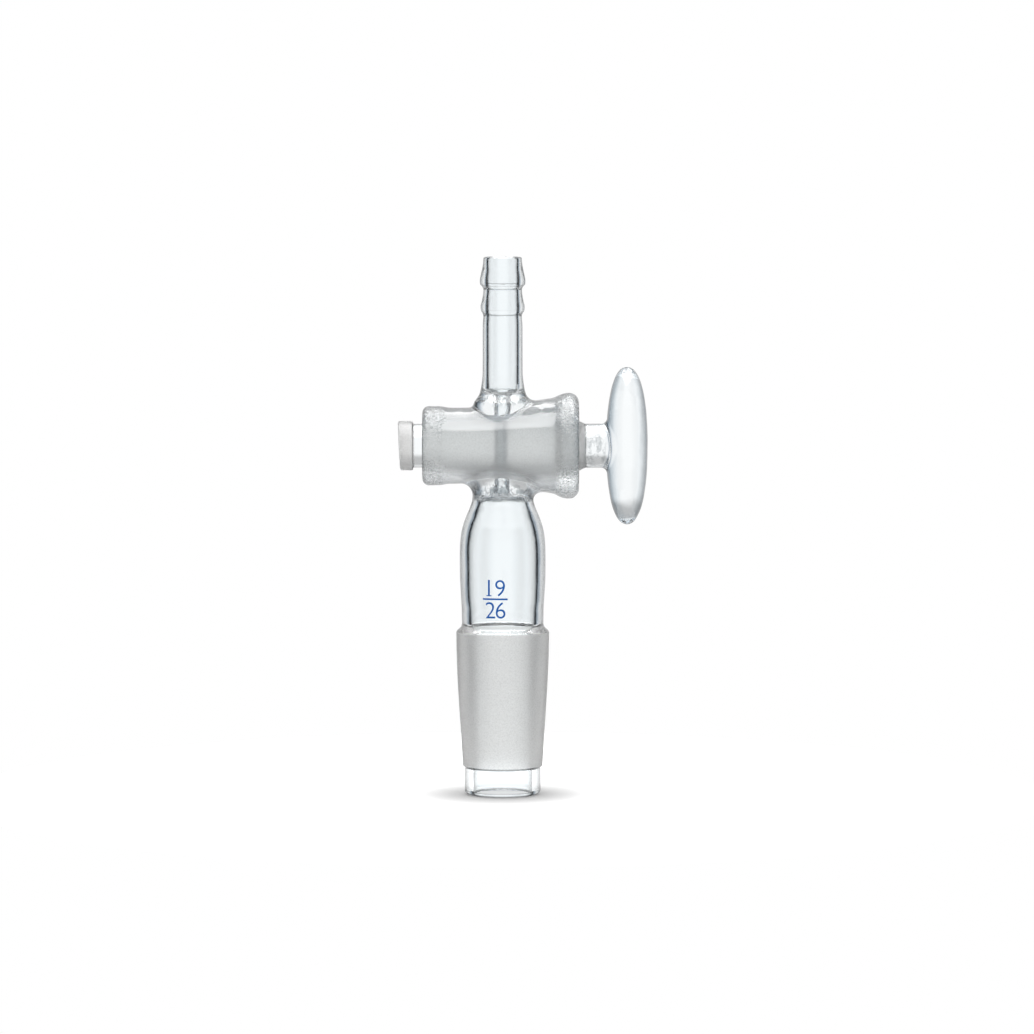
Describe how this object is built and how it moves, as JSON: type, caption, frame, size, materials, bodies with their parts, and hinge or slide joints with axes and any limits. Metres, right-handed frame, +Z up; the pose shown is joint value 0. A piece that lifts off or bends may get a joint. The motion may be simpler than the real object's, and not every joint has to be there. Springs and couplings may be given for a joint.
{
  "type": "glass stopcock",
  "caption": "Glass stopcock with a ground cone below, a barbed hose tube above and a ground-in plug with an oval handle across it.",
  "frame": {"origin": "centre of the drip rim's end, on the plane the stopcock stands on", "axes": "+Z up the tubes, from the cone to the hose tube; +X along the plug, from its narrow end to its handle"},
  "size_m": [0.0505, 0.0214, 0.1089],
  "materials": {
    "body_glass": "clear, with a finely ground cone and seat",
    "plug_glass": "clear handle and neck, finely ground taper"
  },
  "bodies": {
    "body": {"stopcock_body": "body_glass"},
    "plug": {"stopcock_plug": "plug_glass"}
  },
  "joints": [
    {"name": "plug_turn", "type": "hinge", "parent": "body", "child": "plug", "pos_m": [0, 0, 0.07074], "axis": [1, 0, 0], "continuous": true}
  ]
}
